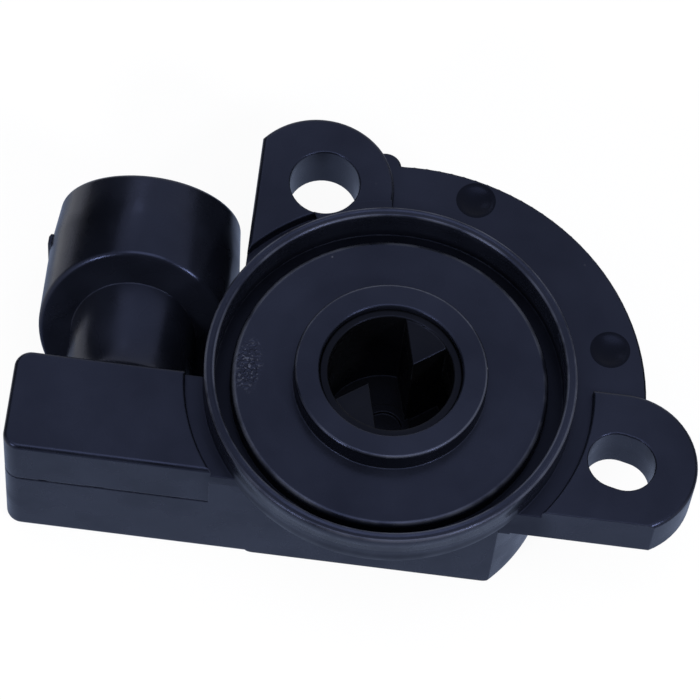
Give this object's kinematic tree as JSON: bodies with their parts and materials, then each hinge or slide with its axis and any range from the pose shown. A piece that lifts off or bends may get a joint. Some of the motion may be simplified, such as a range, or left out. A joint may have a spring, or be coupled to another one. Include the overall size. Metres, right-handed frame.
{
  "type": "throttle position sensor",
  "caption": "Rotary throttle position sensor with a pilot rim, two mounting ears, a sprung drive rotor and a round connector shroud on a side arm.",
  "frame": {"origin": "on the rotor's axis, in the plane of the ears' pads", "axes": "+Z along the rotor's axis out of the mounting face; +X from the connector arm to the lower ear, along the flat front wall; +Y towards the connector's mouth"},
  "size_m": [0.0739, 0.0515, 0.0225],
  "materials": {
    "housing_plastic": "moulded blue-black, satin faces with a soft sheen",
    "rear_plastic": "moulded blue-black, satin",
    "rotor_plastic": "moulded black, smooth",
    "spring_steel": "drawn spring wire",
    "seal_rubber": "smooth black rubber",
    "retainer_steel": "stamped, bright",
    "washer_metal": "smooth bronze",
    "spring_bronze": "stamped spring bronze",
    "brush_alloy": "bright contact alloy",
    "board_laminate": "brown laminate",
    "carbon_ink": "printed carbon, smooth",
    "silver_ink": "printed conductor",
    "tinned_terminal": "tin plated",
    "rivet_brass": "bright",
    "block_plastic": "moulded dark grey",
    "sealing_resin": "cast dark resin"
  },
  "bodies": {
    "root": {"front_housing": "housing_plastic", "rear_housing": "rear_plastic", "return_spring": "spring_steel", "shaft_seal": "seal_rubber", "seal_retainer": "retainer_steel", "thrust_washer": "washer_metal", "resistor_board": "board_laminate", "resistance_track": "carbon_ink", "collector_track": "silver_ink", "board_leads": "silver_ink", "terminal_supply": "tinned_terminal", "terminal_signal": "tinned_terminal", "terminal_ground": "tinned_terminal", "terminal_rivets": "rivet_brass", "terminal_block": "block_plastic", "terminal_sealant": "sealing_resin"},
    "drive_rotor": {"rotor": "rotor_plastic", "wiper_carrier": "spring_bronze", "track_brush": "brush_alloy", "collector_brush": "brush_alloy"}
  },
  "joints": [
    {"name": "rotor_turn", "type": "hinge", "parent": "root", "child": "drive_rotor", "pos_m": [0, 0, 0], "axis": [0, 0, 1], "range_deg": [0, 95], "stiffness_Nm_per_rad": 0.008, "springref_deg": -28.65, "deforming": ["return_spring"]}
  ]
}
